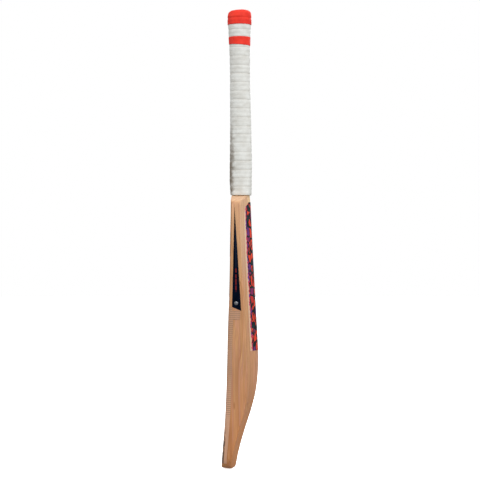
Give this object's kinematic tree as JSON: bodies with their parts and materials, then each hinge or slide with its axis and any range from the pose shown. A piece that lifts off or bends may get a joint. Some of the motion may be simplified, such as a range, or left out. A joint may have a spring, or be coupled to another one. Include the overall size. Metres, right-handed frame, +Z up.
{
  "type": "cricket bat",
  "caption": "Full-size cricket bat: willow blade with a swept spine and thick edges, V-spliced cane handle, ribbed rubber grip with red bands, face sheet and printed labels.",
  "frame": {"origin": "middle of the hand grip, on the handle's axis, 696 mm above the toe", "axes": "+Z up the handle from the toe to the rim of the grip, the flat hitting face looks along -Y and the spine along +Y, +X across the blade"},
  "size_m": [0.1098, 0.0674, 0.873],
  "materials": {
    "willow": "planed, sanded and waxed",
    "cane": "split, planed and glued",
    "spring_rubber": "cut strip",
    "twine": "waxed linen, wound and glued",
    "white_grip_rubber": "moulded ribs, matt",
    "red_grip_rubber": "smooth, matt",
    "fibre_face_sheet": "clear film with fibre threads",
    "back_label_vinyl": "printed vinyl",
    "navy_label_vinyl": "printed vinyl",
    "silver_foil": "domed foil"
  },
  "bodies": {
    "root": {"blade": "willow", "cane_front_left": "cane", "cane_front_middle": "cane", "cane_front_right": "cane", "cane_inner_front_left": "cane", "cane_inner_front_middle": "cane", "cane_inner_front_right": "cane", "cane_inner_back_left": "cane", "cane_inner_back_middle": "cane", "cane_inner_back_right": "cane", "cane_back_left": "cane", "cane_back_middle": "cane", "cane_back_right": "cane", "spring_front": "spring_rubber", "spring_middle": "spring_rubber", "spring_back": "spring_rubber", "handle_twine": "twine", "grip": "white_grip_rubber", "grip_end_band": "red_grip_rubber", "grip_ring_band": "red_grip_rubber", "face_sheet": "fibre_face_sheet", "back_label": "back_label_vinyl", "face_label": "navy_label_vinyl", "edge_label_right": "navy_label_vinyl", "edge_label_left": "navy_label_vinyl", "edge_badge_right": "silver_foil", "edge_badge_left": "silver_foil"}
  },
  "joints": []
}
